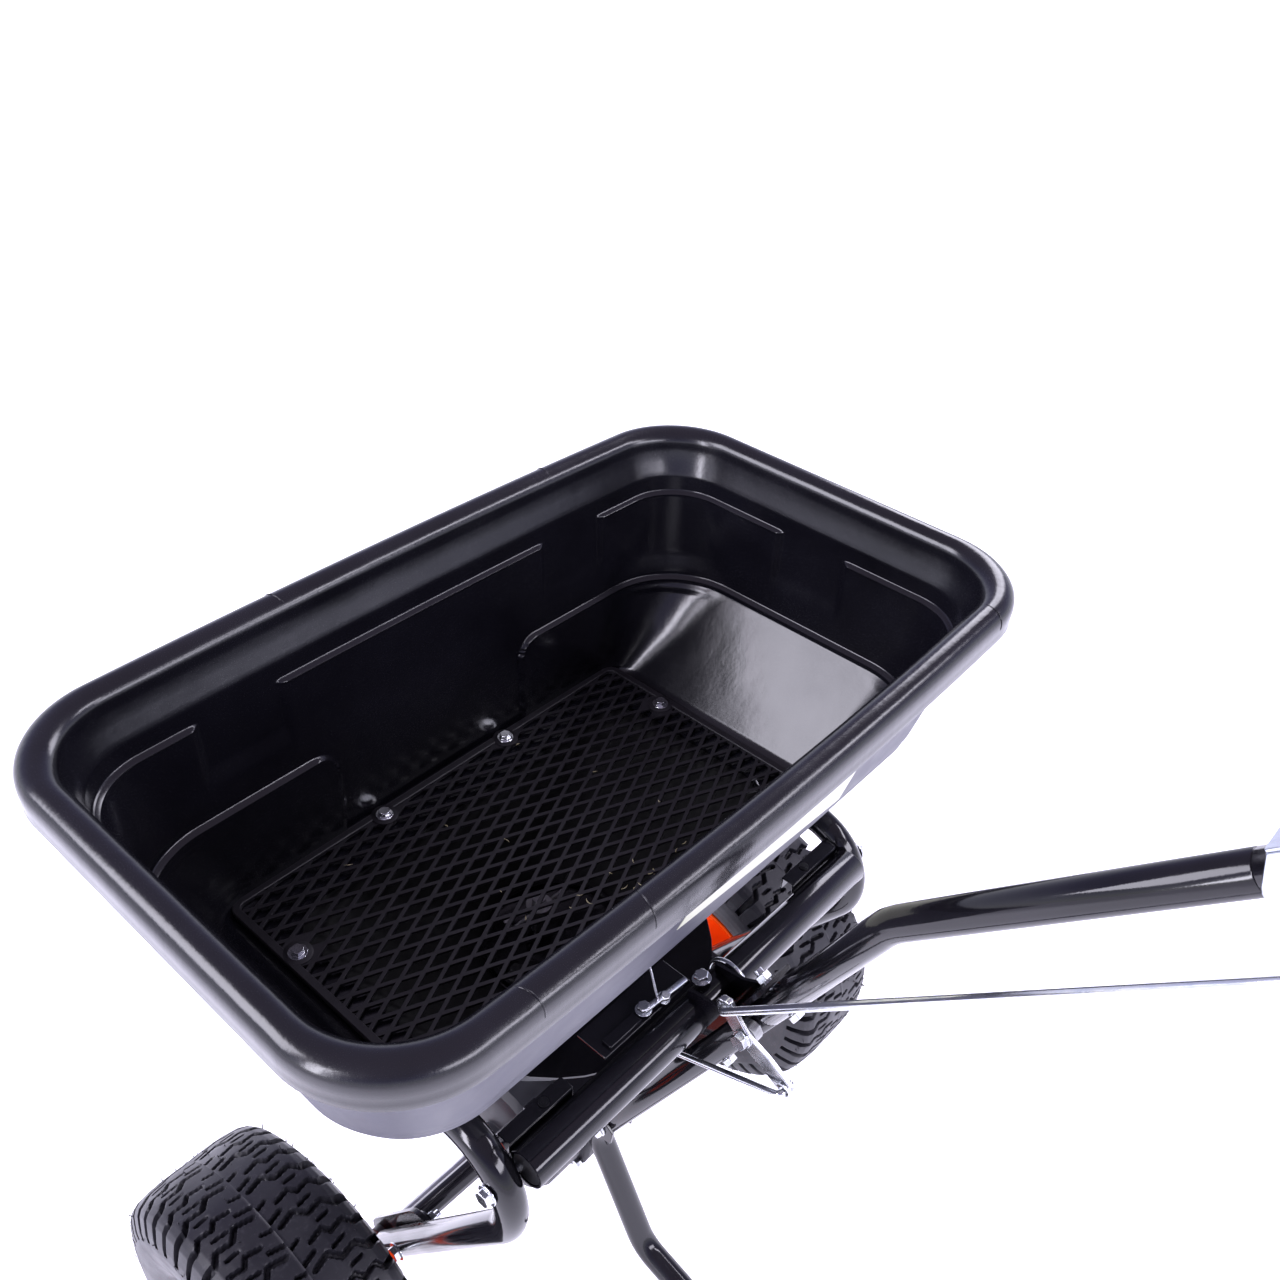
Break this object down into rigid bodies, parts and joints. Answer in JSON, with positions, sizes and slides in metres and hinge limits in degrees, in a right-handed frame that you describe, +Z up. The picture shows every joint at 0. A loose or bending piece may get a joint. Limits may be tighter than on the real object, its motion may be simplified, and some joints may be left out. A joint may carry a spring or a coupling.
{
  "type": "broadcast spreader",
  "caption": "Walk-behind garden broadcast spreader: rectangular moulded hopper on a tube frame, ground-driven impeller, lever-worked shut-off gate, pneumatic wheels and a stand.",
  "frame": {"origin": "on the ground, under the middle of the bounding box", "axes": "+X to the right of the person pushing, +Y the direction of travel, +Z up"},
  "size_m": [0.768, 0.9223, 1.1683],
  "materials": {
    "hopper_plastic": "satin moulded black",
    "black_paint": "gloss powder coat",
    "zinc": "bright zinc plate",
    "bare_steel": "plain",
    "orange_paint": "gloss",
    "tyre_rubber": "matte",
    "grip_rubber": "matte",
    "nylon": "satin"
  },
  "bodies": {
    "frame": {"hopper": "hopper_plastic", "hopper_screen": "black_paint", "shutoff_base": "black_paint", "left_side_tube": "black_paint", "right_side_tube": "black_paint", "front_rail": "black_paint", "cross_tube": "black_paint", "left_axle_hanger": "black_paint", "right_axle_hanger": "black_paint", "stand_tube": "black_paint", "handle_tube": "black_paint", "handle_bracket": "black_paint", "upper_handle": "black_paint", "handle_crossbar": "black_paint", "gearbox_bracket": "black_paint", "left_brace": "black_paint", "right_brace": "black_paint", "screen_bolt_1": "zinc", "screen_bolt_2": "zinc", "screen_bolt_3": "zinc", "screen_bolt_4": "zinc", "cross_tube_bolt_left": "zinc", "cross_tube_bolt_right": "zinc", "left_hanger_bolt": "zinc", "right_hanger_bolt": "zinc", "handle_bolt_upper": "zinc", "handle_bolt_lower": "zinc", "cross_tube_clip": "zinc", "lever_saddle": "zinc", "lever_pivot_bolt": "zinc", "gearbox_bolt_1": "zinc", "gearbox_bolt_2": "zinc", "gearbox_bolt_3": "zinc", "gearbox_bracket_bolt": "zinc", "crank_pivot_bolt": "zinc", "left_grip": "grip_rubber", "right_grip": "grip_rubber", "stand_foot": "nylon", "gearbox_left": "nylon", "gearbox_right": "nylon", "left_axle_bushing": "nylon", "right_axle_bushing": "nylon"},
    "drive_axle": {"axle": "bare_steel", "left_rim": "orange_paint", "left_tyre": "tyre_rubber", "left_valve": "nylon", "drive_pin": "zinc", "ring_gear": "nylon"},
    "free_wheel": {"right_rim": "orange_paint", "right_tyre": "tyre_rubber", "right_valve": "nylon"},
    "rotor": {"pinion_shaft": "bare_steel", "impeller": "nylon", "agitator": "bare_steel"},
    "lever": {"flow_lever": "zinc", "lever_grip": "grip_rubber"},
    "control_rod": {"control_rod": "zinc"},
    "bell_crank": {"bell_crank": "zinc"},
    "link_rod": {"link_rod": "zinc"},
    "gate": {"gate_plate": "zinc"}
  },
  "joints": [
    {"name": "drive_wheel_spin", "type": "hinge", "parent": "frame", "child": "drive_axle", "pos_m": [0, 0.281, 0.168], "axis": [1, 0, 0], "continuous": true},
    {"name": "free_wheel_spin", "type": "hinge", "parent": "frame", "child": "free_wheel", "pos_m": [0.308, 0.281, 0.168], "axis": [1, 0, 0], "continuous": true},
    {"name": "impeller_spin", "type": "hinge", "parent": "frame", "child": "rotor", "pos_m": [0, 0.281, 0.396], "axis": [0, 0, 1], "continuous": true},
    {"name": "flow_lever_hinge", "type": "hinge", "parent": "frame", "child": "lever", "pos_m": [-0.0178, -0.294, 0.9653], "axis": [1, 0, 0], "range_deg": [0, 18]},
    {"name": "control_rod_hinge", "type": "hinge", "parent": "lever", "child": "control_rod", "pos_m": [-0.024, -0.32715, 0.93341], "axis": [1, 0, 0], "range_deg": [-18.7, 0]},
    {"name": "bell_crank_hinge", "type": "hinge", "parent": "frame", "child": "bell_crank", "pos_m": [-0.026, 0.0347, 0.536], "axis": [1, 0, 0], "range_deg": [-29.8, 0]},
    {"name": "link_rod_hinge", "type": "hinge", "parent": "bell_crank", "child": "link_rod", "pos_m": [-0.031, -0.008, 0.514], "axis": [1, 0, 0], "range_deg": [0, 18.6]},
    {"name": "gate_slide", "type": "slide", "parent": "frame", "child": "gate", "axis": [0, 1, 0], "range_m": [-0.0192, 0]}
  ],
  "couplings": [
    {"joint": "impeller_spin", "follows": "drive_wheel_spin", "ratio": 3},
    {"joint": "control_rod_hinge", "follows": "flow_lever_hinge", "ratio": -1.0304},
    {"joint": "bell_crank_hinge", "follows": "flow_lever_hinge", "ratio": -1.6483},
    {"joint": "link_rod_hinge", "follows": "flow_lever_hinge", "ratio": 1.0242},
    {"joint": "gate_slide", "follows": "flow_lever_hinge", "m_per_rad": -0.06068}
  ]
}
